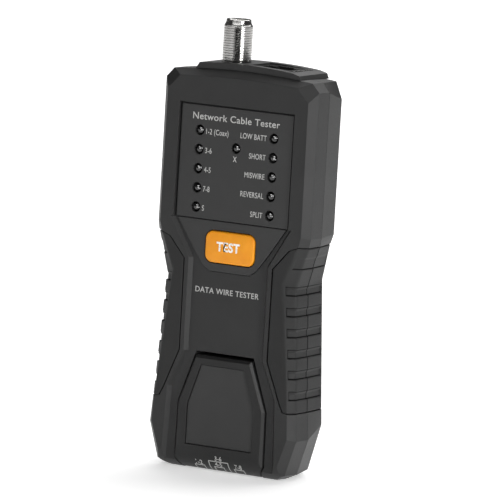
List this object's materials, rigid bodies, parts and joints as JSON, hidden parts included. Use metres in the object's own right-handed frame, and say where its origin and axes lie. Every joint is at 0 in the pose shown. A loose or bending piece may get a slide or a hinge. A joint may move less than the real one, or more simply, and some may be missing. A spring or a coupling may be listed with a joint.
{
  "type": "network cable tester",
  "caption": "Hand-held cable tester with lamp panel, test button, coax jack and data jack on top, and a detachable remote docked in its lower front.",
  "frame": {"origin": "middle of the flat bottom end, on the plane that the tester stands on", "axes": "+X right and -Y towards the user when the lamps face the user, +Z along the housing towards the coax jack"},
  "size_m": [0.057, 0.0264, 0.1459],
  "materials": {
    "housing_abs": "fine spark-eroded texture, moulded ABS",
    "grip_rubber": "moulded thermoplastic rubber",
    "panel_plastic": "smooth matt overlay",
    "button_plastic": "satin orange",
    "lamp_epoxy": "clear epoxy over a dark cup",
    "zinc_steel": "zinc plated",
    "nickel_plate": "bright nickel plate",
    "jack_nylon": "moulded nylon",
    "gold_contact": "gold flash",
    "dielectric": "moulded dielectric",
    "circuit_board": "green solder mask",
    "chip_epoxy": "moulded epoxy",
    "cell_wrap": "printed shrink sleeve"
  },
  "bodies": {
    "housing": {"board_header": "chip_epoxy", "bridge_plate": "zinc_steel", "button_bezel": "panel_plastic", "case_screw_1": "zinc_steel", "case_screw_2": "zinc_steel", "case_screw_3": "zinc_steel", "case_screw_4": "zinc_steel", "cell_left": "cell_wrap", "cell_right": "cell_wrap", "cell_spring_left": "zinc_steel", "cell_spring_right": "zinc_steel", "coax_barrel": "nickel_plate", "coax_contact": "gold_contact", "coax_insulator": "dielectric", "coax_nut": "nickel_plate", "connector_board": "circuit_board", "connector_plinth": "housing_abs", "controller_chip": "chip_epoxy", "data_jack_contacts": "gold_contact", "data_jack_housing": "jack_nylon", "data_jack_shield": "nickel_plate", "front_shell": "housing_abs", "grip_front_left": "grip_rubber", "grip_front_right": "grip_rubber", "grip_rear_left": "grip_rubber", "grip_rear_right": "grip_rubber", "lamp_01": "lamp_epoxy", "lamp_02": "lamp_epoxy", "lamp_03": "lamp_epoxy", "lamp_04": "lamp_epoxy", "lamp_05": "lamp_epoxy", "lamp_06": "lamp_epoxy", "lamp_07": "lamp_epoxy", "lamp_08": "lamp_epoxy", "lamp_09": "lamp_epoxy", "lamp_10": "lamp_epoxy", "lamp_11": "lamp_epoxy", "led_panel": "panel_plastic", "main_board": "circuit_board", "rear_shell": "housing_abs", "switch_body": "jack_nylon", "terminal_plates": "zinc_steel"},
    "button": {"test_button": "button_plastic", "switch_plunger": "dielectric"},
    "door": {"battery_door": "housing_abs", "door_latch": "housing_abs"},
    "remote": {"remote_board": "circuit_board", "remote_front_shell": "housing_abs", "remote_inlay": "panel_plastic", "remote_jack_contacts": "gold_contact", "remote_jack_housing": "jack_nylon", "remote_jack_shield": "nickel_plate", "remote_load_parts": "chip_epoxy", "remote_rear_shell": "housing_abs", "remote_screw": "zinc_steel"}
  },
  "joints": [
    {"name": "button_press", "type": "slide", "parent": "housing", "child": "button", "axis": [0, 1, 0], "range_m": [0, 0.0005], "stiffness_N_per_m": 2000},
    {"name": "door_hinge", "type": "hinge", "parent": "housing", "child": "door", "pos_m": [0, 0.012, 0.0424], "axis": [-1, 0, 0], "range_deg": [0, 60]},
    {"name": "remote_undock", "type": "slide", "parent": "housing", "child": "remote", "axis": [0, -1, 0], "range_m": [0, 0.022]}
  ]
}
